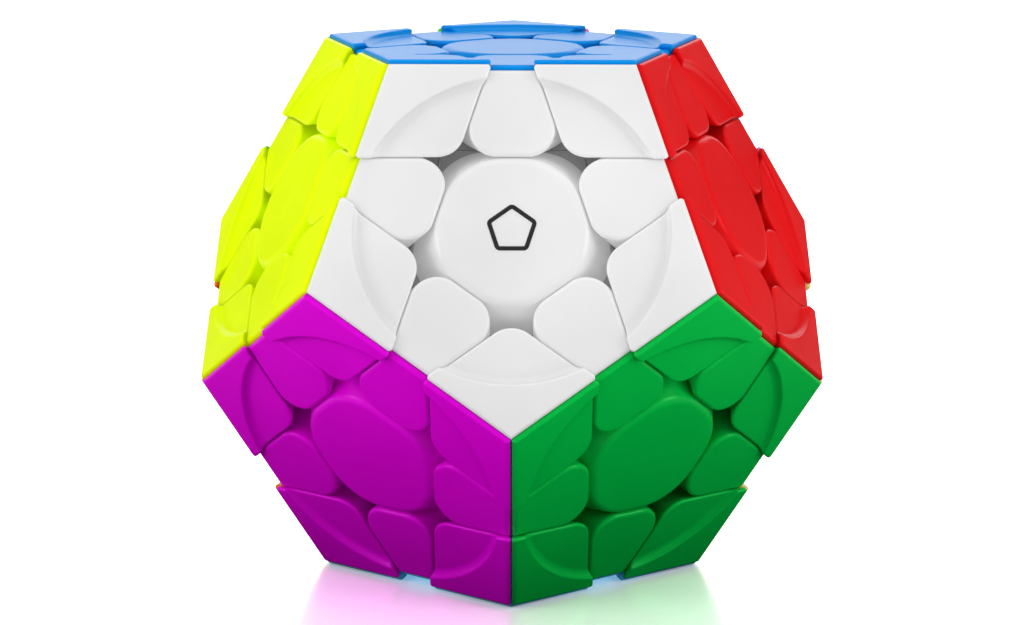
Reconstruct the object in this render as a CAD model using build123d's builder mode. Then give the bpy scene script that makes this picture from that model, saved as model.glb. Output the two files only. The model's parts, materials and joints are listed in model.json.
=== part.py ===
from build123d import *
import math
import os

# Dodecahedron twisty puzzle: twelve faces, each the outer face of a layer that
# turns about the face's own axis. Origin at the centre of the core, where the
# twelve turning axes meet. +Z is the axis of the top face, -Y is the front.
# Millimetres.
#
# Mechanism:
#   * a core with twelve arms, one per face, each drilled for a screw
#   * a screw, spring and washer per face, which hold a center base to its arm
#   * a center cap that closes each center base
#   * thirty edge pieces: a retaining foot under two coloured tiles
#   * twenty corner pieces: a retaining foot under three coloured tiles
# Every surface on which two pieces slide is a surface of revolution about a
# face axis: the flat cut planes outside, a 42 degree cone under them, and a
# 48 degree cone under that. Corner feet are held down by the edge pieces, edge
# feet by the center bases, and center bases by the screws.
#
# A "height" is a distance from the origin along a face axis. Each piece is
# modelled once, with its first face along +Z, and then placed on every face.

# ------------------------------------------------------------- outer shape
EDGE = 36.0              # edge length of the enclosing dodecahedron
CUT_FROM_CENTER = 9.98   # face centre to a cut line, measured on the face
RECESS_R = 22.4          # radius of the round recess on each face
RECESS_DEPTH = 0.85      # how far the recess lies under the corner plateaus
STEP_BASE_R = 1.25       # hollow radius at the foot of the recess wall
STEP_TOP_R = 0.42        # round radius at the top of the recess wall
CORNER_TIP_R = 4.5       # rounding of a corner tile's inner tip
EDGE_TIP_R = 3.2         # rounding of an edge tile's two inner tips
CENTER_TIP_R = 10.0      # rounding of a center cap's five corners
CORNER_RIM_R = 0.36      # rounding of a corner tile's outer rims
EDGE_RIM_R = 0.60        # softer rounding of an edge tile's outer rims
CAP_RIM_R = 1.40         # pillowed rim of a center cap
RIDGE_END_R = 0.50       # rounding where a corner's flank meets its ridge

# ----------------------------------------------------- clearances and walls
GAP = 0.07               # each sliding surface stands back by this much
SEAM = 0.05              # each tile stands back this much from a colour seam
FIT = 0.10               # clearance of fixed inner joints
WALL = 1.5               # wall of the coloured shells
SKIRT = 0.8              # thinner wall of their skirts, round the plate
HOLLOW_SEAM = 1.0        # a tile's hollow stands back this much from a seam
PLATE = 1.5              # thickness of the plate that carries the tiles
PLUG_RISE = 1.3          # plug top over the nominal top of the plate

# -------------------------------------------------------- sliding surfaces
CONE_OUT = 42.0          # cone under the cut planes, half angle, degrees
CONE_IN = 48.0           # cone the feet reach out to, half angle, degrees
FOOT_IN_R = 17.0         # inner radius of the feet
FOOT_OUT_R = 24.5        # outer radius of the feet, the retaining ledge
OVERCUT = 1.5            # a cutting layer reaches this far past the feet

# ------------------------------------------------------- derived geometry
FACE_HEIGHT = EDGE * 0.5 * math.sqrt(2.5 + 1.1 * math.sqrt(5.0))
AXIS_ANGLE = math.degrees(math.atan(2.0))     # between neighbouring face axes
AXIS_SIN = math.sin(math.radians(AXIS_ANGLE))
AXIS_COS = math.cos(math.radians(AXIS_ANGLE))
CUT_HEIGHT = CUT_FROM_CENTER * AXIS_SIN + FACE_HEIGHT * AXIS_COS
RECESS_HEIGHT = FACE_HEIGHT - RECESS_DEPTH
CONE_TOP_R = CUT_HEIGHT / math.cos(math.radians(CONE_OUT))  # plane meets cone
TILE_UNDER_R = CONE_TOP_R + 0.08              # underside of the coloured tiles
PLATE_TOP_R = TILE_UNDER_R + PLATE
FOOT_LOW_R = FOOT_IN_R + GAP
INNER_TOP = FACE_HEIGHT - 0.2                 # top of a piece's inner space
INNER_LOW_R = CONE_TOP_R - 0.6                # bottom of that space

# ------------------------------------------------------------ center piece
BASE_TOP = 35.6          # height of the base's top
BORE_R = 1.65            # screw hole in a center base
BORE_DEPTH = 30.0
WELL_R = 4.0             # well for spring, washer and screw head
WELL_FLOOR = 22.0
CAP_RING_R = 5.2         # ring under the cap, which drops into the base
CAP_RING_BORE_R = 4.3
CAP_RING_DEPTH = 3.1
CAP_HOLLOW_R = 8.0       # round hollow under the cap
CAP_HOLLOW_DEPTH = 8.0
CAP_BOTTOM = 25.0        # nothing of the cap lies lower
RING_SEAT_FLOOR = 34.3   # widened mouth of the well, for the cap's ring
GROOVE_OUT_R = 9.3       # ring-shaped core between well and outer wall
GROOVE_IN_R = 6.6
GROOVE_FLOOR = 27.0

# ------------------------------------------------------- core and hardware
CORE_R = 10.5            # ball at the middle of the core
ARM_R = 3.5              # arms of the core
ARM_TOP = 16.9           # where an arm ends
PILOT_R = 1.28           # pilot hole in an arm
PILOT_DEPTH = 9.0
SPRING_WIRE_R = 0.30
SPRING_R = 2.75
SPRING_BOTTOM = WELL_FLOOR + 0.25
SPRING_TOP = 30.6
SPRING_TURNS = 6
WASHER_R = 3.6
WASHER_TOP_R = 0.15      # rounding of the washer's top edges
WASHER_T = 0.6           # spring top to washer top
WASHER_LIFT = 0.05       # gap between spring and washer
SCREW_R = 1.25           # shank of the tension screw
SCREW_TIP = 9.4
TIP_CHAMFER = 0.6
HEAD_BOTTOM = SPRING_TOP + 0.1 + WASHER_T
HEAD_R = 3.2
HEAD_H = 1.9
HEAD_TOP_R = 0.7         # rounding of the head's top edge
SLOT_LENGTH = 3.6        # cross slot in the head
SLOT_WIDTH = 0.9
SLOT_DEPTH = 1.2


# ------------------------------------------------------- directions, planes
def turned(azimuth):
    """Normal of the neighbouring face at this azimuth round +Z, degrees."""
    angle = math.radians(azimuth)
    return Vector(AXIS_SIN * math.cos(angle), AXIS_SIN * math.sin(angle), AXIS_COS)


def keep_beyond(normal, distance):
    """Plane that keeps the side with normal . x > distance."""
    unit = normal.normalized()
    return Plane(origin=unit * distance, z_dir=unit)


def seam_plane(own, other, inset):
    """Plane between two face colours, keeping the side of the own face."""
    return keep_beyond(own - other, inset)


def axis_location(normal, x_towards=None):
    """Location whose +Z is the normal and whose +X leans to x_towards."""
    z_dir = normal.normalized()
    if x_towards is None:
        x_towards = Vector(1, 0, 0) if abs(z_dir.X) < 0.8 else Vector(0, 1, 0)
    x_dir = x_towards - z_dir * x_towards.dot(z_dir)
    return Location(Plane(origin=(0, 0, 0), x_dir=x_dir.normalized(), z_dir=z_dir))


TOP = Vector(0, 0, 1)
# a corner's other two faces: the vertex lies towards +X
CORNER_OTHERS = (turned(36), turned(-36))
CORNER_DIR = (TOP + CORNER_OTHERS[0] + CORNER_OTHERS[1]).normalized()
THIRDS = [Location((0, 0, 0), tuple(CORNER_DIR), a) for a in (0, 120, 240)]
# an edge's other face, and the faces past its ends: its midpoint lies towards +X
EDGE_OTHER = turned(0)
EDGE_ENDS = (turned(72), turned(-72))
EDGE_DIR = (TOP + EDGE_OTHER).normalized()
HALVES = [Location((0, 0, 0), tuple(EDGE_DIR), a) for a in (0, 180)]
# the five faces round the top face
CENTER_RING = [turned(72 * i) for i in range(5)]


# ------------------------------------------------------------ edge selectors
def edges_between(builder, normal, other):
    """Edges parallel to the line in which planes of these normals meet."""
    direction = normal.cross(other).normalized()
    return builder.edges().filter_by(Axis((0, 0, 0), direction))


def from_origin(edge):
    return edge.center().length


def upper_rim(builder):
    """Edges round the outer skin of a tile: the skin meets walls or seams."""
    skin = [face for face in builder.faces()
            if face.center().Z > RECESS_HEIGHT - 0.02
            and abs(face.normal_at(face.center()).Z) > 0.25]
    return [edge for edge in builder.edges()
            if sum(1 for face in skin for other in face.edges()
                   if other.is_same(edge)) == 1]


# ------------------------------------------------------- shared solid shapes
def make_face_envelope():
    """Outer skin over one face: round recess, soft step, raised plateau."""
    inner_r, outer_r, bottom = 5, 36, 18
    # the step is two tangent arcs that each sweep this angle
    cosine = 1.0 - RECESS_DEPTH / (STEP_BASE_R + STEP_TOP_R)
    sweep_angle = math.acos(cosine)
    sine = math.sin(sweep_angle)
    half_sine = math.sin(sweep_angle / 2)
    half_rise = 1 - math.cos(sweep_angle / 2)
    base = (RECESS_R - STEP_BASE_R * sine, RECESS_HEIGHT)
    middle = (RECESS_R, RECESS_HEIGHT + STEP_BASE_R * (1 - cosine))
    top = (RECESS_R + STEP_TOP_R * sine, FACE_HEIGHT)
    on_base_arc = (base[0] + STEP_BASE_R * half_sine, base[1] + STEP_BASE_R * half_rise)
    on_top_arc = (top[0] - STEP_TOP_R * half_sine, top[1] - STEP_TOP_R * half_rise)

    with BuildPart() as envelope:
        with BuildSketch(Plane.XZ):
            with BuildLine():
                Polyline(base, (inner_r, RECESS_HEIGHT), (inner_r, bottom),
                         (outer_r, bottom), (outer_r, FACE_HEIGHT), top)
                ThreePointArc(top, on_top_arc, middle)
                ThreePointArc(middle, on_base_arc, base)
            make_face()
        revolve(axis=Axis.Z)
    return envelope.part


def arc_middle(start, end, radius):
    """Middle of an arc about the origin."""
    x, z = start[0] + end[0], start[1] + end[1]
    scale = radius / math.hypot(x, z)
    return (x * scale, z * scale)


def make_layer(inset, low_r, high_r):
    """A layer under its cut plane: a fan in the XZ plane, revolved about +Z.

    inset > 0 shrinks the layer for its own members, inset < 0 widens it for
    the pieces that must stay clear of it.
    """
    def on_cone(half_angle, radius):
        """Point at this radius on the cone line moved inward by inset."""
        angle = math.radians(half_angle)
        along = math.sqrt(radius * radius - inset * inset)
        return (along * math.sin(angle) - inset * math.cos(angle),
                along * math.cos(angle) + inset * math.sin(angle))

    ledge_r = FOOT_OUT_R - inset
    foot_low = on_cone(CONE_IN, low_r)
    foot_ledge = on_cone(CONE_IN, ledge_r)
    neck_ledge = on_cone(CONE_OUT, ledge_r)
    neck_high = on_cone(CONE_OUT, high_r)
    axis_low, axis_high = (0, low_r), (0, high_r)

    with BuildSketch(Plane.XZ) as fan:
        with BuildLine():
            Line(axis_low, axis_high)
            ThreePointArc(axis_high, arc_middle(axis_high, neck_high, high_r), neck_high)
            Line(neck_high, neck_ledge)
            ThreePointArc(neck_ledge, arc_middle(neck_ledge, foot_ledge, ledge_r),
                          foot_ledge)
            Line(foot_ledge, foot_low)
            ThreePointArc(foot_low, arc_middle(foot_low, axis_low, low_r), axis_low)
        make_face()
    with BuildPart() as layer:
        add(fan.sketch)
        revolve(axis=Axis.Z)
    return layer.part


face_envelope = make_face_envelope()
member_layer = make_layer(GAP, FOOT_LOW_R, CONE_TOP_R)
outsider_layer = make_layer(-GAP, FOOT_LOW_R - OVERCUT, CONE_TOP_R + OVERCUT)

WEDGE_STOCK_AT = (30, 0, 35)     # middle of the blocks the wedges are cut from


def common_space(wedge, turns, normals):
    """What a wedge shares with its turned copies, between cone and faces."""
    with BuildPart() as space:
        add(wedge)
        for turn in turns[1:]:
            with Locations(turn):
                add(wedge, mode=Mode.INTERSECT)
        for normal in normals:
            split(bisect_by=keep_beyond(normal, INNER_TOP), keep=Keep.BOTTOM)
        Sphere(INNER_LOW_R, mode=Mode.SUBTRACT)
    return space.part


def corner_space(setback):
    """Space of a corner piece above its cone, this far inside its outline.

    Three wedges, each with one rounded edge, meet round the vertex axis.
    """
    with BuildPart() as wedge:
        with Locations(WEDGE_STOCK_AT):
            Box(100, 100, 90)
        for normal in CORNER_OTHERS:
            split(bisect_by=keep_beyond(normal, CUT_HEIGHT + GAP + setback), keep=Keep.TOP)
        fillet(edges_between(wedge, *CORNER_OTHERS).sort_by(from_origin)[0],
               CORNER_TIP_R - setback)
    return common_space(wedge.part, THIRDS, (TOP, *CORNER_OTHERS))


def edge_space(setback):
    """Space of an edge piece above its cone, this far inside its outline.

    Two wedges, each with one rounded edge, and the same turned half round.
    """
    inset = GAP + setback
    with BuildPart() as wedge:
        with Locations(WEDGE_STOCK_AT):
            Box(160, 160, 160)
        split(bisect_by=keep_beyond(EDGE_OTHER, CUT_HEIGHT + inset), keep=Keep.TOP)
        split(bisect_by=keep_beyond(EDGE_ENDS[0], CUT_HEIGHT - inset), keep=Keep.BOTTOM)
        fillet(edges_between(wedge, EDGE_OTHER, EDGE_ENDS[0]).sort_by(from_origin)[0],
               EDGE_TIP_R - setback)
    with BuildPart() as pair:
        add(wedge.part)
        add(wedge.part.mirror(Plane.XZ), mode=Mode.INTERSECT)
    return common_space(pair.part, HALVES, (TOP, EDGE_OTHER))


def under_tile(space, others, clearance=0.0):
    """Share of a piece's inner space that lies under its first tile."""
    with BuildPart() as share:
        add(space)
        split(bisect_by=keep_beyond(TOP, RECESS_HEIGHT - WALL - clearance),
              keep=Keep.BOTTOM)
        for other in others:
            split(bisect_by=seam_plane(TOP, other, HOLLOW_SEAM + clearance), keep=Keep.TOP)
    return share.part


def within_sphere(shape, radius):
    with BuildPart() as inside:
        add(shape)
        Sphere(radius, mode=Mode.INTERSECT)
    return inside.part


# ------------------------------------------------------------ corner pieces
def make_corner_tile():
    """One coloured corner tile, hollow and open towards the foot."""
    hollow = under_tile(corner_space(WALL), CORNER_OTHERS)
    seat = within_sphere(corner_space(SKIRT), PLATE_TOP_R)
    with BuildPart() as tile:
        add(face_envelope)
        for other in CORNER_OTHERS:
            split(bisect_by=keep_beyond(other, CUT_HEIGHT + GAP), keep=Keep.TOP)
            split(bisect_by=seam_plane(TOP, other, SEAM), keep=Keep.TOP)
        fillet(edges_between(tile, *CORNER_OTHERS), CORNER_TIP_R)
        fillet([edges_between(tile, other, TOP - other).sort_by(from_origin)[-1]
                for other in CORNER_OTHERS], RIDGE_END_R)
        fillet(upper_rim(tile), CORNER_RIM_R)
        Sphere(TILE_UNDER_R, mode=Mode.SUBTRACT)
        add(seat, mode=Mode.SUBTRACT)
        add(hollow, mode=Mode.SUBTRACT)
    return tile.part


def make_corner_foot():
    """Retaining foot, neck, plate, and a plug for each of three tiles."""
    plate = within_sphere(corner_space(SKIRT + FIT), PLATE_TOP_R - FIT)
    plug = within_sphere(under_tile(corner_space(WALL + FIT), CORNER_OTHERS, FIT),
                         PLATE_TOP_R + PLUG_RISE)
    with BuildPart() as foot:
        add(member_layer)
        for other in CORNER_OTHERS:
            with Locations(axis_location(other)):
                add(member_layer, mode=Mode.INTERSECT)
        add(plate)
        with Locations(*THIRDS):
            add(plug)
    return foot.part


# -------------------------------------------------------------- edge pieces
def make_edge_tile():
    """One coloured edge tile, hollow and open towards the foot."""
    hollow = under_tile(edge_space(WALL), [EDGE_OTHER])
    seat = within_sphere(edge_space(SKIRT), PLATE_TOP_R)
    with BuildPart() as tile:
        with Locations((20, 0, 30)):
            Box(40, 40, 40)
        split(bisect_by=keep_beyond(TOP, RECESS_HEIGHT), keep=Keep.BOTTOM)
        split(bisect_by=keep_beyond(EDGE_OTHER, CUT_HEIGHT + GAP), keep=Keep.TOP)
        for end in EDGE_ENDS:
            split(bisect_by=keep_beyond(end, CUT_HEIGHT - GAP), keep=Keep.BOTTOM)
        split(bisect_by=seam_plane(TOP, EDGE_OTHER, SEAM), keep=Keep.TOP)
        fillet([edges_between(tile, EDGE_OTHER, end).sort_by(from_origin)[0]
                for end in EDGE_ENDS], EDGE_TIP_R)
        fillet(upper_rim(tile), EDGE_RIM_R)
        Sphere(TILE_UNDER_R, mode=Mode.SUBTRACT)
        add(seat, mode=Mode.SUBTRACT)
        add(hollow, mode=Mode.SUBTRACT)
    return tile.part


def make_edge_foot():
    """Retaining foot, neck, plate and two plugs, with a pocket between them."""
    pocket_floor, pocket_length, pocket_width, pocket_corner_r = 21.5, 11.0, 4.6, 1.2
    plate = within_sphere(edge_space(SKIRT + FIT), PLATE_TOP_R - FIT)
    plug = within_sphere(under_tile(edge_space(WALL + FIT), [EDGE_OTHER], FIT),
                         PLATE_TOP_R + PLUG_RISE)
    with BuildPart() as foot:
        add(member_layer)
        with Locations(axis_location(EDGE_OTHER)):
            add(member_layer, mode=Mode.INTERSECT)
        with Locations(*[axis_location(end) for end in EDGE_ENDS]):
            add(outsider_layer, mode=Mode.SUBTRACT)
        add(plate)
        with Locations(*HALVES):
            add(plug)
        with BuildSketch(Plane(origin=EDGE_DIR * pocket_floor, x_dir=(0, 1, 0),
                               z_dir=EDGE_DIR)):
            RectangleRounded(pocket_length, pocket_width, pocket_corner_r)
        extrude(amount=30, mode=Mode.SUBTRACT)
    return foot.part


# ------------------------------------------------------------ center pieces
def make_center_cap():
    """Coloured cap, a shallow lid whose ring drops into the base."""
    lid_underside = RECESS_HEIGHT - WALL
    with BuildPart() as cap:
        with Locations((0, 0, 34)):
            Box(60, 60, 20)
        split(bisect_by=keep_beyond(TOP, RECESS_HEIGHT), keep=Keep.BOTTOM)
        for normal in CENTER_RING:
            split(bisect_by=keep_beyond(normal, CUT_HEIGHT - GAP), keep=Keep.BOTTOM)
        fillet([edges_between(cap, CENTER_RING[i], CENTER_RING[i - 1])
                .sort_by(from_origin)[0] for i in range(5)], CENTER_TIP_R)
        fillet(upper_rim(cap), CAP_RIM_R)
        Sphere(TILE_UNDER_R, mode=Mode.SUBTRACT)
        split(bisect_by=Plane.XY.offset(CAP_BOTTOM), keep=Keep.TOP)
        with BuildSketch(Plane.XY.offset(lid_underside)):
            Circle(CAP_HOLLOW_R)
        extrude(amount=-CAP_HOLLOW_DEPTH, mode=Mode.SUBTRACT)
        with BuildSketch(Plane.XY.offset(lid_underside)):
            Circle(CAP_RING_R)
            Circle(CAP_RING_BORE_R, mode=Mode.SUBTRACT)
        extrude(amount=-CAP_RING_DEPTH)
    return cap.part


def make_center_base():
    """Base over the core arm: carries the well, reaches over the edge feet."""
    with BuildPart() as base:
        add(member_layer)
        with Locations(*[axis_location(normal) for normal in CENTER_RING]):
            add(outsider_layer, mode=Mode.SUBTRACT)
        split(bisect_by=Plane.XY.offset(FOOT_LOW_R), keep=Keep.TOP)
        split(bisect_by=Plane.XY.offset(BASE_TOP), keep=Keep.BOTTOM)
        with Locations((0, 0, BASE_TOP)):
            CounterBoreHole(BORE_R, WELL_R, BASE_TOP - WELL_FLOOR, depth=BORE_DEPTH)
        with BuildSketch(Plane.XY.offset(RING_SEAT_FLOOR)):
            Circle(CAP_RING_R + FIT)
        extrude(amount=4, mode=Mode.SUBTRACT)
        with BuildSketch(Plane.XY.offset(GROOVE_FLOOR)):
            Circle(GROOVE_OUT_R)
            Circle(GROOVE_IN_R, mode=Mode.SUBTRACT)
        extrude(amount=10, mode=Mode.SUBTRACT)
    return base.part


# ----------------------------------------------------------------- hardware
def make_screw():
    with BuildPart() as screw:
        with BuildSketch(Plane.XY.offset(SCREW_TIP)):
            Circle(SCREW_R)
        extrude(amount=HEAD_BOTTOM - SCREW_TIP)
        chamfer(screw.edges().group_by(Axis.Z)[0], TIP_CHAMFER)
        with BuildSketch(Plane.XY.offset(HEAD_BOTTOM)):
            Circle(HEAD_R)
        extrude(amount=HEAD_H)
        fillet(screw.edges().group_by(Axis.Z)[-1], HEAD_TOP_R)
        with BuildSketch(Plane.XY.offset(HEAD_BOTTOM + HEAD_H)):
            Rectangle(SLOT_LENGTH, SLOT_WIDTH)
            Rectangle(SLOT_WIDTH, SLOT_LENGTH)
        extrude(amount=-SLOT_DEPTH, mode=Mode.SUBTRACT)
    return screw.part


def make_washer():
    with BuildPart() as washer:
        with BuildSketch(Plane.XY.offset(SPRING_TOP + WASHER_LIFT)):
            Circle(WASHER_R)
            Circle(SCREW_R + 0.15, mode=Mode.SUBTRACT)
        extrude(amount=WASHER_T - WASHER_LIFT)
        fillet(washer.edges().group_by(Axis.Z)[-1], WASHER_TOP_R)
    return washer.part


def make_spring():
    coil_height = SPRING_TOP - SPRING_BOTTOM - 2 * SPRING_WIRE_R
    with BuildPart() as spring:
        with BuildLine() as coil:
            Helix(pitch=coil_height / SPRING_TURNS, height=coil_height,
                  radius=SPRING_R, center=(0, 0, SPRING_BOTTOM + SPRING_WIRE_R))
        with BuildSketch(Plane(origin=coil.line @ 0, z_dir=coil.line % 0)):
            Circle(SPRING_WIRE_R)
        sweep(path=coil.line, is_frenet=True)
    return spring.part


def make_core(arms):
    """Ball with twelve drilled arms; returns the builder."""
    with BuildPart() as core:
        Sphere(CORE_R)
        for arm in arms:
            with BuildSketch(Plane(arm)):
                Circle(ARM_R)
            extrude(amount=ARM_TOP)
        for arm in arms:
            with BuildSketch(Plane(arm).offset(ARM_TOP - PILOT_DEPTH)):
                Circle(PILOT_R)
            extrude(amount=PILOT_DEPTH + 1, mode=Mode.SUBTRACT)
    return core


# ---------------------------------------------------------------- the faces
# colour: (azimuth from -Y towards +X, elevation) of each face normal, degrees
RISE = 90.0 - AXIS_ANGLE
FACES = {
    "blue": (0, 90), "white": (0, RISE), "red": (72, RISE),
    "pink": (144, RISE), "lime": (-144, RISE), "yellow": (-72, RISE),
    "purple": (-36, -RISE), "green": (36, -RISE), "cream": (108, -RISE),
    "gray": (180, -RISE), "orange": (-108, -RISE), "sky": (0, -90),
}


def normal_of(colour):
    azimuth, elevation = (math.radians(angle) for angle in FACES[colour])
    return Vector(math.cos(elevation) * math.sin(azimuth),
                  -math.cos(elevation) * math.cos(azimuth),
                  math.sin(elevation))


COLOURS = list(FACES)
NORMAL = {colour: normal_of(colour) for colour in COLOURS}


def touching(one, other):
    return abs(NORMAL[one].dot(NORMAL[other]) - AXIS_COS) < 1e-6


# a piece is the tuple of the colours it carries
EDGES = [(a, b) for i, a in enumerate(COLOURS) for b in COLOURS[i + 1:]
         if touching(a, b)]
CORNERS = [(a, b, c) for a, b in EDGES for c in COLOURS[COLOURS.index(b) + 1:]
           if touching(a, c) and touching(b, c)]
TURNING = ("white", "pink", "sky")      # layers grouped as bodies of their own
FIXED = [colour for colour in COLOURS if colour not in TURNING]


def layer_of(piece):
    """The turning layer a piece belongs to, or core."""
    for colour in TURNING:
        if colour in piece:
            return colour
    return "core"


def place(own, *others):
    """Own face's axis to +Z, +X leaning towards the other faces."""
    towards = sum((NORMAL[other] for other in others), Vector(0, 0, 0))
    return axis_location(NORMAL[own], towards)


def center_place(colour):
    return place(colour, [other for other in COLOURS if touching(other, colour)][0])


def tile_places(pieces, colour, layer):
    """Places of one colour's tiles on those pieces that are in the layer."""
    return [place(colour, *[other for other in piece if other != colour])
            for piece in pieces if colour in piece and layer_of(piece) == layer]


def foot_places(pieces, layer):
    return [place(*piece) for piece in pieces if layer_of(piece) == layer]


# ------------------------------------------------------------------ writing
# files whose names end like this are written without parameter curves
PLAIN_ENDINGS = ("_feet", "_base", "_bases", "_spider", "_screws", "_washers")


def write(label, node):
    node.part.label = label
    export_step(node.part, "parts/" + label + ".step",
                write_pcurves=not label.endswith(PLAIN_ENDINGS))


def write_copies(label, *groups):
    """Write one file of placed copies; a group is a shape and its places."""
    with BuildPart() as node:
        for shape, places in groups:
            with Locations(*places):
                add(shape, clean=False)
    write(label, node)


os.makedirs("parts", exist_ok=True)

corner_tile = make_corner_tile()
corner_foot = make_corner_foot()
edge_tile = make_edge_tile()
edge_foot = make_edge_foot()
center_cap = make_center_cap()
center_base = make_center_base()


def write_tiles(label, colour, layer):
    """One colour's edge and corner tiles in one layer, as one file."""
    write_copies(label, (edge_tile, tile_places(EDGES, colour, layer)),
                 (corner_tile, tile_places(CORNERS, colour, layer)))


# tiles, caps and bases of the three turning layers
for layer in TURNING:
    write_copies(layer + "_corner_tiles",
                 (corner_tile, tile_places(CORNERS, layer, layer)))
    write_copies(layer + "_edge_tiles", (edge_tile, tile_places(EDGES, layer, layer)))
    write_copies(layer + "_center_cap", (center_cap, [center_place(layer)]))
    write_copies(layer + "_center_base", (center_base, [center_place(layer)]))
    # the neighbour colours' tiles that travel with this layer
    for colour in FIXED:
        if touching(colour, layer):
            write_tiles(colour + "_tiles_" + layer + "_layer", colour, layer)

# tiles, caps and bases that stay with the core
for colour in FIXED:
    write_tiles(colour + "_tiles_core", colour, "core")
    write_copies(colour + "_center_cap", (center_cap, [center_place(colour)]))
write_copies("core_center_bases",
             (center_base, [center_place(colour) for colour in FIXED]))

# feet, one group for each body
for layer in TURNING + ("core",):
    write_copies(layer + "_corner_feet", (corner_foot, foot_places(CORNERS, layer)))
    write_copies(layer + "_edge_feet", (edge_foot, foot_places(EDGES, layer)))

# core and its hardware
ARMS = [axis_location(NORMAL[colour]) for colour in COLOURS]
write("core_spider", make_core(ARMS))
write_copies("tension_screws", (make_screw(), ARMS))
write_copies("tension_springs", (make_spring(), ARMS))
write_copies("spring_washers", (make_washer(), ARMS))
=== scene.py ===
# A twelve-sided twisting puzzle in twelve colours, with a pentagon printed on
# its white center cap. It is centred on the origin and stands on one face,
# +Z up. The white center cap looks toward -Y and partly up, at the camera.
# Lengths are in metres.
import bpy
import bmesh
import json
import math
from mathutils import Matrix, Vector


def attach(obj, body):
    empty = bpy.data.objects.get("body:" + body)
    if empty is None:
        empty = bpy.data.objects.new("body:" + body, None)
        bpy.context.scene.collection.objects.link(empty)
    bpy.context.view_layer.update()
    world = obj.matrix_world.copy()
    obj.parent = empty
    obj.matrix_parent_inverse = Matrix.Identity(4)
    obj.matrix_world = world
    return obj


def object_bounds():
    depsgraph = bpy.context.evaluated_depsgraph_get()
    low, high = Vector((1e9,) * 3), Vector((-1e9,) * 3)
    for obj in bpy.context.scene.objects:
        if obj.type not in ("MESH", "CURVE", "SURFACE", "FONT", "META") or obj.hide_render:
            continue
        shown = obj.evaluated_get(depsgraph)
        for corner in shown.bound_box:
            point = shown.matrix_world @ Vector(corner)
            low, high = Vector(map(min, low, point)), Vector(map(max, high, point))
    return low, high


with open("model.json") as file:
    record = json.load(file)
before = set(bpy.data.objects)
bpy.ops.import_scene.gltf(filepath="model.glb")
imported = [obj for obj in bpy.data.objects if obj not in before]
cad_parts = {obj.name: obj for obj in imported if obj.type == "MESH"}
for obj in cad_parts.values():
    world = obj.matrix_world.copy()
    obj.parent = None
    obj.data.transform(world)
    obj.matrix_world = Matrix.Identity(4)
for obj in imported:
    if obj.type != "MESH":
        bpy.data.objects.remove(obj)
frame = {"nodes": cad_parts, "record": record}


cad_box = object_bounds()

# ------------------------------------------------------------ node helpers


def add_node(tree, kind, inputs=None, **settings):
    """Add a shader node. Inputs given as sockets are linked, others are set."""
    node = tree.nodes.new("ShaderNode" + kind)
    for name, value in settings.items():
        setattr(node, name, value)
    for key, value in (inputs or {}).items():
        if isinstance(value, bpy.types.NodeSocket):
            tree.links.new(value, node.inputs[key])
        else:
            node.inputs[key].default_value = value
    return node


def new_material(name):
    """An empty material, its node tree and its surface socket."""
    material = bpy.data.materials.new(name)
    material.use_nodes = True
    tree = material.node_tree
    tree.nodes.clear()
    output = add_node(tree, "OutputMaterial")
    return material, tree, output.inputs["Surface"]


def object_coords(tree):
    return add_node(tree, "TexCoord").outputs["Object"]


def noise(tree, coords, scale, detail, roughness=0.5):
    return add_node(tree, "TexNoise", {
        "Vector": coords, "Scale": scale, "Detail": detail,
        "Roughness": roughness}).outputs["Fac"]


def map_range(tree, value, from_range=(0.0, 1.0), to_range=(0.0, 1.0),
              interpolation="LINEAR"):
    return add_node(tree, "MapRange", {
        "Value": value,
        "From Min": from_range[0], "From Max": from_range[1],
        "To Min": to_range[0], "To Max": to_range[1],
    }, interpolation_type=interpolation).outputs["Result"]


def math_node(tree, operation, first, second, use_clamp=False):
    return add_node(tree, "Math", {0: first, 1: second}, operation=operation,
                    use_clamp=use_clamp).outputs["Value"]


def colour_ramp(tree, factor, dark, light, positions=(0.0, 1.0)):
    node = add_node(tree, "ValToRGB", {"Fac": factor})
    for element, position, colour in zip(node.color_ramp.elements, positions,
                                         (dark, light)):
        element.position = position
        element.color = colour
    return node.outputs["Color"]


def bump(tree, height, strength, distance, **inputs):
    return add_node(tree, "Bump", {
        "Height": height, "Strength": strength, "Distance": distance,
        **inputs}).outputs["Normal"]


def toned(rgb, factor, lift=0.0):
    """The colour made lighter or darker, as RGBA."""
    return tuple(min(1.0, c * factor + lift) for c in rgb) + (1,)


# --------------------------------------------------------------- materials
SPECULAR_TINT = 0.85    # how far the highlights take the plastic's colour
HOLLOW_SHADE = 0.30     # how much the deepest hollows are darkened
RIM_HIGHLIGHT_GAIN = 0.35        # how strongly the painted highlight on the rounded edges shows
RIM_HIGHLIGHT_RADIUS = 0.00045
HOLLOW_REACH = 0.0026


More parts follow.
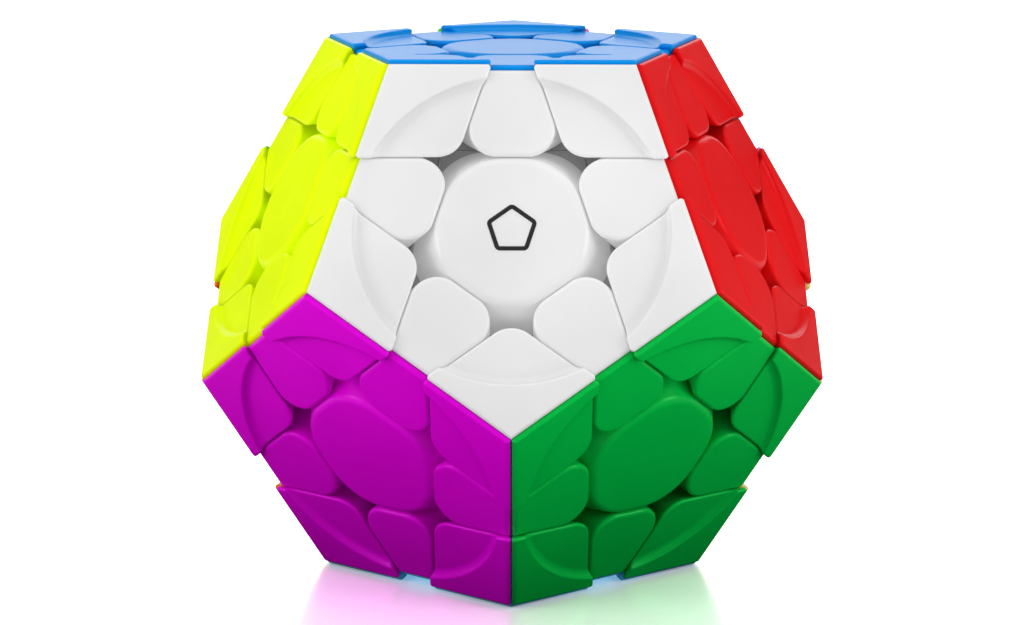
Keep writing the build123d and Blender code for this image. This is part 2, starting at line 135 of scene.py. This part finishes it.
def plastic_colour(tree, coords, rgb):
    """Faint flow clouds in the colour, and a painted highlight: rounded edges painted
    slightly lighter.
    """
    flow = noise(tree, coords, scale=38.0, detail=3.0)
    clouds = colour_ramp(tree, flow, dark=toned(rgb, 0.93),
                         light=toned(rgb, 1.04, lift=0.002),
                         positions=(0.30, 0.72))
    rounded = add_node(tree, "Bevel", {"Radius": RIM_HIGHLIGHT_RADIUS}, samples=4)
    geometry = add_node(tree, "NewGeometry")
    # the rounded normal leaves the true one only near an edge
    agreement = add_node(tree, "VectorMath", {
        0: rounded.outputs["Normal"], 1: geometry.outputs["Normal"],
    }, operation="DOT_PRODUCT")
    rim_highlight_mask = map_range(tree, agreement.outputs["Value"],
                     from_range=(0.995, 0.90))
    # painted highlight: near an edge the colour is mixed toward a lighter tone of itself
    mix = add_node(tree, "Mix", data_type="RGBA")
    factor, base, rim_highlight_tone = mix.inputs["Factor"], mix.inputs[6], mix.inputs[7]
    tree.links.new(math_node(tree, "MULTIPLY", rim_highlight_mask, RIM_HIGHLIGHT_GAIN), factor)
    tree.links.new(clouds, base)
    rim_highlight_tone.default_value = toned(rgb, 1.10, lift=0.010)
    return mix.outputs[2]


def shaded_hollows(tree, colour):
    """The colour, darkened in the hollows of the steps."""
    occlusion = add_node(tree, "AmbientOcclusion", {"Distance": HOLLOW_REACH},
                         samples=4, only_local=True)
    hollow = map_range(tree, occlusion.outputs["AO"], from_range=(0.62, 0.97),
                       to_range=(1.0 - HOLLOW_SHADE, 1.0))
    return add_node(tree, "VectorMath", {0: colour, "Scale": hollow},
                    operation="SCALE").outputs["Vector"]


def plastic_relief(tree, coords):
    """Returns nothing and is deleted below; the satin grain and a moulded flat's waves are
    made in moulded_plastic.
    """


def moulded_plastic(name, rgb, gloss, painted_glow, scatter, rough=0.24, grain=1.0):
    """Moulded plastic with patchy roughness, satin grain and faint waves.

    gloss is the specular level; the glow sets painted light: light emitted in the
    plastic's own colour that lifts its shade in place of light carried through thin walls;
    scatter is the subsurface weight and grain the strength of the fine bump.
    """
    material, tree, surface = new_material(name)
    coords = object_coords(tree)
    colour = plastic_colour(tree, coords, rgb)
    patches = noise(tree, coords, scale=140.0, detail=4.0, roughness=0.6)
    fine = noise(tree, coords, scale=5200.0, detail=2.0, roughness=0.55)
    waves = noise(tree, coords, scale=55.0, detail=1.0, roughness=0.4)
    satin = bump(tree, fine, strength=0.10 * grain, distance=0.00002)
    relief = bump(tree, waves, strength=0.35, distance=0.00012, Normal=satin)
    shader = add_node(tree, "BsdfPrincipled", {
        "Base Color": shaded_hollows(tree, colour),
        "Roughness": map_range(tree, patches,
                               to_range=(rough - 0.04, rough + 0.06)),
        "Normal": relief,
        "IOR": 1.45,
        "Specular IOR Level": gloss,
        "Specular Tint": tuple(
            SPECULAR_TINT * c / max(rgb) + (1 - SPECULAR_TINT)
            for c in rgb) + (1,),
        # painted light: the plastic glows in its own colour, lifting its shade
        "Emission Color": colour,
        "Emission Strength": painted_glow,
        "Coat Weight": 0.0,
        "Coat Roughness": 0.08,
        "Subsurface Weight": scatter,
        "Subsurface Radius": tuple(0.4 + c for c in rgb),
        "Subsurface Scale": 0.0012,
    })
    tree.links.new(shader.outputs["BSDF"], surface)
    return material


del plastic_relief


def inner_plastic(name, rgb):
    """Satin plastic of the mechanism, with a stronger grain."""
    return moulded_plastic(name, rgb, gloss=0.5, painted_glow=0.0, scatter=0.0,
                           rough=0.42, grain=2.0)


def steel(name, rgb, rough):
    """Plated steel with light, uneven tarnish."""
    material, tree, surface = new_material(name)
    tarnish = noise(tree, object_coords(tree), scale=900.0, detail=5.0)
    shader = add_node(tree, "BsdfPrincipled", {
        "Base Color": colour_ramp(tree, tarnish, dark=toned(rgb, 0.8),
                                  light=toned(rgb, 1.0)),
        "Roughness": map_range(tree, tarnish,
                               to_range=(rough - 0.08, rough + 0.12)),
        "Normal": bump(tree, tarnish, strength=0.2, distance=0.00003),
        "Metallic": 1.0,
    })
    tree.links.new(shader.outputs["BSDF"], surface)
    return material


def emblem_ink():
    """Near-black ink with a fine speckle."""
    material, tree, surface = new_material("emblem_ink")
    speck = noise(tree, object_coords(tree), scale=2600.0, detail=3.0)
    shader = add_node(tree, "BsdfPrincipled", {
        "Base Color": colour_ramp(tree, speck, dark=(0.010, 0.008, 0.010, 1),
                                  light=(0.030, 0.024, 0.028, 1)),
        "Roughness": 0.38,
    })
    tree.links.new(shader.outputs["BSDF"], surface)
    return material


# slot: (linear base colour, gloss, strength of the painted glow, scatter)
COLOURED_PLASTICS = {
    "white":  ((0.730, 0.730, 0.730), 0.50, 0.13, 0.25),
    "blue":   ((0.000, 0.275, 0.790), 0.50, 0.05, 0.12),
    "red":    ((0.760, 0.006, 0.008), 0.30, 0.05, 0.12),
    "pink":   ((0.900, 0.180, 0.420), 0.45, 0.02, 0.10),
    "lime":   ((0.190, 0.650, 0.030), 0.35, 0.06, 0.15),
    "yellow": ((0.740, 0.930, 0.000), 0.14, 0.14, 0.25),
    "purple": ((0.840, 0.000, 0.770), 0.42, 0.02, 0.10),
    "green":  ((0.000, 0.570, 0.070), 0.50, 0.00, 0.08),
    "cream":  ((0.900, 0.760, 0.330), 0.40, 0.08, 0.20),
    "gray":   ((0.220, 0.230, 0.250), 0.45, 0.02, 0.10),
    "orange": ((0.930, 0.200, 0.006), 0.45, 0.02, 0.10),
    "sky":    ((0.080, 0.480, 0.830), 0.45, 0.02, 0.10),
}
# slot: linear base colour
INNER_PLASTICS = {
    "foot_plastic": (0.42, 0.42, 0.43),
    "base_plastic": (0.46, 0.46, 0.47),
    "core_plastic": (0.060, 0.060, 0.066),
}
# slot: (linear base colour, roughness)
STEELS = {
    "screw_steel":  ((0.60, 0.60, 0.62), 0.28),
    "spring_steel": ((0.66, 0.66, 0.68), 0.22),
    "washer_steel": ((0.70, 0.70, 0.71), 0.30),
}

materials = {}
for slot, (rgb, gloss, painted_glow, scatter) in COLOURED_PLASTICS.items():
    materials[slot] = moulded_plastic("plastic_" + slot, rgb, gloss, painted_glow,
                                      scatter)
for slot, rgb in INNER_PLASTICS.items():
    materials[slot] = inner_plastic(slot, rgb)
for slot, (rgb, rough) in STEELS.items():
    materials[slot] = steel(slot, rgb, rough)

slot_of = {part["node"]: part["material_slot"]
           for part in frame["record"]["subparts"]}
for name, obj in frame["nodes"].items():
    obj.data.materials.clear()
    obj.data.materials.append(materials[slot_of[name]])

# ---------------------------------------------------------- printed emblem
CAP_TILT = math.atan(0.5)       # how far the white cap looks up from level
CAP_NORMAL = (0, -math.cos(CAP_TILT), math.sin(CAP_TILT))
EMBLEM_RADIUS = 0.0038          # middle to outer corner, before rounding
LINE_WIDTH = 0.00062
PRINT_HEIGHT = 0.00003          # above the cap, and sunk as far below it
INNER_RADIUS = EMBLEM_RADIUS - LINE_WIDTH * 1.24
OUTER_BEND = LINE_WIDTH * 1.3   # corner radii of the outline
INNER_BEND = LINE_WIDTH * 0.4
ARC_HALF_STEPS = 4              # segments on each side of a corner's middle


def rounded_pentagon(radius, bend):
    """Flat outline, one corner up, each corner an arc of radius bend."""
    points = []
    for i in range(5):
        corner_angle = math.radians(90 + 72 * i)
        corner = Vector((math.cos(corner_angle),
                         math.sin(corner_angle))) * radius
        centre = corner * (1 - bend / (radius * math.cos(math.radians(36))))
        for k in range(-ARC_HALF_STEPS, ARC_HALF_STEPS + 1):
            angle = corner_angle + math.radians(36.0 * k / ARC_HALF_STEPS)
            points.append(
                centre + Vector((math.cos(angle), math.sin(angle))) * bend)
    return points


def printed_outline(name, cap_name):
    """A thin closed pentagon band lying on the outer face of a cap."""
    cap = frame["nodes"][cap_name]
    normal = Vector(CAP_NORMAL).normalized()
    level = max(v.co.dot(normal) for v in cap.data.vertices)
    up = (Vector((0, 0, 1)) - normal * normal.z).normalized()
    side = up.cross(normal)

    bm = bmesh.new()
    rings = [[bm.verts.new(normal * (level + lift) + side * p.x + up * p.y)
              for p in rounded_pentagon(radius, bend)]
             for radius, bend, lift in (
                 (EMBLEM_RADIUS, OUTER_BEND, -PRINT_HEIGHT),
                 (EMBLEM_RADIUS, OUTER_BEND, PRINT_HEIGHT),
                 (INNER_RADIUS, INNER_BEND, PRINT_HEIGHT),
                 (INNER_RADIUS, INNER_BEND, -PRINT_HEIGHT))]
    count = len(rings[0])
    for ring, following in zip(rings, rings[1:] + rings[:1]):
        for i in range(count):
            j = (i + 1) % count
            bm.faces.new((ring[i], ring[j], following[j], following[i]))
    bmesh.ops.recalc_face_normals(bm, faces=bm.faces)
    mesh = bpy.data.meshes.new(name)
    bm.to_mesh(mesh)
    bm.free()
    outline = bpy.data.objects.new(name, mesh)
    bpy.context.scene.collection.objects.link(outline)
    return outline


emblem = printed_outline("cap_emblem", "white_center_cap")
emblem.data.materials.append(emblem_ink())
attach(emblem, "white_layer")

# ------------------------------------------------------------------- floor
FLOOR_SIZE = 6.0
FLOOR_GAP = 0.00002     # keeps the floor just clear of the lowest face


def floor_glow(tree, distance, is_glossy):
    """Light the floor throws back on the puzzle, by distance from its centre.

    The floor near the puzzle lies in its shade. Glossy rays see it duller.
    """
    beyond_shade = map_range(tree, distance, from_range=(0.05, 0.24),
                             to_range=(0.0, 1.7), interpolation="SMOOTHSTEP")
    dulled = map_range(tree, is_glossy, to_range=(1.0, 0.24))
    around = math_node(tree, "MULTIPLY", beyond_shade, dulled)
    # a light patch under the face it stands on, hidden from glossy rays
    patch = map_range(tree, distance, from_range=(0.0485, 0.0450),
                      to_range=(0.0, 0.40), interpolation="SMOOTHSTEP")
    under = math_node(tree, "SUBTRACT", patch, is_glossy, use_clamp=True)
    strength = math_node(tree, "ADD", around, under)
    return add_node(tree, "Emission", {"Strength": strength})


def floor_material():
    """White glossy acrylic to the camera, a graded light to all other rays."""
    material, tree, surface = new_material("pale_gloss_floor")
    ground = add_node(tree, "BsdfDiffuse", {"Color": (0.93, 0.93, 0.93, 1)})
    mirror = add_node(tree, "BsdfGlossy", {
        "Color": (1.15, 1.15, 1.15, 1), "Roughness": 0.24})
    brightening = add_node(tree, "Emission", {"Strength": 0.12})
    top = add_node(tree, "AddShader", {
        0: ground.outputs["BSDF"], 1: mirror.outputs["BSDF"]})
    acrylic = add_node(tree, "AddShader", {
        0: top.outputs["Shader"], 1: brightening.outputs["Emission"]})

    geometry = add_node(tree, "NewGeometry")
    rays = add_node(tree, "LightPath")
    distance = add_node(tree, "VectorMath", {0: geometry.outputs["Position"]},
                        operation="LENGTH").outputs["Value"]
    thrown = floor_glow(tree, distance, rays.outputs["Is Glossy Ray"])

    # from below the floor is clear, so the underside can be looked at
    clear = add_node(tree, "BsdfTransparent")
    seen = add_node(tree, "MixShader", {
        "Fac": geometry.outputs["Backfacing"],
        1: acrylic.outputs["Shader"], 2: clear.outputs["BSDF"]})
    result = add_node(tree, "MixShader", {
        "Fac": rays.outputs["Is Camera Ray"],
        1: thrown.outputs["Emission"], 2: seen.outputs["Shader"]})
    tree.links.new(result.outputs["Shader"], surface)
    return material


bpy.ops.mesh.primitive_plane_add(
    size=FLOOR_SIZE, location=(0, 0, cad_box[0][2] - FLOOR_GAP))
floor = bpy.context.object
floor.name = "floor"
floor.data.materials.append(floor_material())

# ------------------------------------------------------------------- world
# soft round windows of light that the gloss mirrors:
# (direction, half angle, width of the soft rim, strength), angles in degrees
SOFT_BOXES = (
    ((0.0, 1.0, 0.24), 20, 10, 1.05),       # behind the puzzle
    ((0.0, -0.1, 1.0), 26, 12, 1.1),        # overhead
    ((-1.0, -0.35, 0.45), 14, 8, 0.25),     # left
    ((1.0, -0.35, 0.45), 14, 8, 0.35),      # right
)


def soft_box(tree, view, direction, half_angle, rim, strength):
    facing = add_node(tree, "VectorMath", {
        0: view, 1: Vector(direction).normalized()}, operation="DOT_PRODUCT")
    return map_range(tree, facing.outputs["Value"],
                     from_range=(math.cos(math.radians(half_angle + rim)),
                                 math.cos(math.radians(half_angle))),
                     to_range=(0.0, strength), interpolation="SMOOTHSTEP")


def build_world():
    world = bpy.data.worlds.new("studio")
    bpy.context.scene.world = world
    world.use_nodes = True
    tree = world.node_tree
    view = add_node(tree, "TexCoord").outputs["Generated"]
    height = add_node(tree, "SeparateXYZ", {"Vector": view}).outputs["Z"]
    # what lights the surfaces: a white tent, brighter overhead
    tent = map_range(tree, height, from_range=(0.15, 0.95),
                     to_range=(0.13, 1.20), interpolation="SMOOTHSTEP")
    # what the gloss mirrors: dark surroundings with soft boxes
    mirrored = map_range(tree, height, from_range=(0.0, 1.0),
                         to_range=(0.02, 0.08), interpolation="SMOOTHSTEP")
    for box in SOFT_BOXES:
        mirrored = math_node(tree, "ADD", mirrored, soft_box(tree, view, *box))
    rays = add_node(tree, "LightPath")
    lighting = add_node(tree, "Mix", {
        "Factor": rays.outputs["Is Glossy Ray"], 2: tent, 3: mirrored,
    }, data_type="FLOAT")
    # the camera sees a plain white ground beyond the floor
    strength = add_node(tree, "Mix", {
        "Factor": rays.outputs["Is Camera Ray"],
        2: lighting.outputs[0], 3: 1.0,
    }, data_type="FLOAT")
    background = tree.nodes["Background"]
    background.inputs["Color"].default_value = (1.0, 1.0, 1.0, 1)
    tree.links.new(strength.outputs[0], background.inputs["Strength"])


build_world()

# ------------------------------------------------------------------ lights
SIDES = (("left", -1), ("right", 1))    # name and sign of x


def add_light(name, kind, location, target, **settings):
    light = bpy.data.lights.new(name, kind)
    for setting, value in settings.items():
        setattr(light, setting, value)
    obj = bpy.data.objects.new(name, light)
    bpy.context.scene.collection.objects.link(obj)
    obj.location = location
    aim = Vector(target) - Vector(location)
    obj.rotation_euler = aim.to_track_quat("-Z", "Y").to_euler()


for side, sign in SIDES:
    add_light("side_" + side, "AREA", location=(sign * 0.70, -0.30, 0.25),
              target=(0, 0, 0), shape="RECTANGLE", size=0.3, size_y=0.3,
              energy=1.5)
for side, sign in SIDES:
    add_light("front_" + side, "SPOT", location=(sign * 0.52, -0.52, 0.06),
              target=(sign * 0.040, -0.02, 0.026),
              spot_size=math.radians(14.0), spot_blend=1.0, energy=2.0,
              shadow_soft_size=0.12)

# ------------------------------------------------------------------ camera
# heading from +Y, downward tilt and roll, in radians
CAMERA_YAW, CAMERA_PITCH, CAMERA_ROLL = 0.0031436938, 0.2200790130, 0.0018563250
CAMERA_PLACE = Vector((0.00115404, -0.38670618, 0.08425713))
SENSOR_WIDTH = 36.0         # mm
FOCAL_LENGTH = 89.5942266   # mm


def camera_pose():
    yaw, pitch, roll = CAMERA_YAW, CAMERA_PITCH, CAMERA_ROLL
    forward = Vector((-math.sin(yaw) * math.cos(pitch),
                      math.cos(yaw) * math.cos(pitch), -math.sin(pitch)))
    right = Vector((math.cos(yaw), math.sin(yaw), 0))
    up = right.cross(forward)
    right, up = (math.cos(roll) * right + math.sin(roll) * up,
                 -math.sin(roll) * right + math.cos(roll) * up)
    turn = Matrix((right, up, -forward)).transposed()
    return Matrix.Translation(CAMERA_PLACE) @ turn.to_4x4()


camera = bpy.data.cameras.new("camera")
camera.sensor_fit = "HORIZONTAL"
camera.sensor_width = SENSOR_WIDTH
camera.lens = FOCAL_LENGTH
camera.clip_start = 0.01
camera_object = bpy.data.objects.new("camera", camera)
bpy.context.scene.collection.objects.link(camera_object)
camera_object.matrix_world = camera_pose()
bpy.context.scene.camera = camera_object
bpy.context.scene.view_settings.view_transform = "Standard"
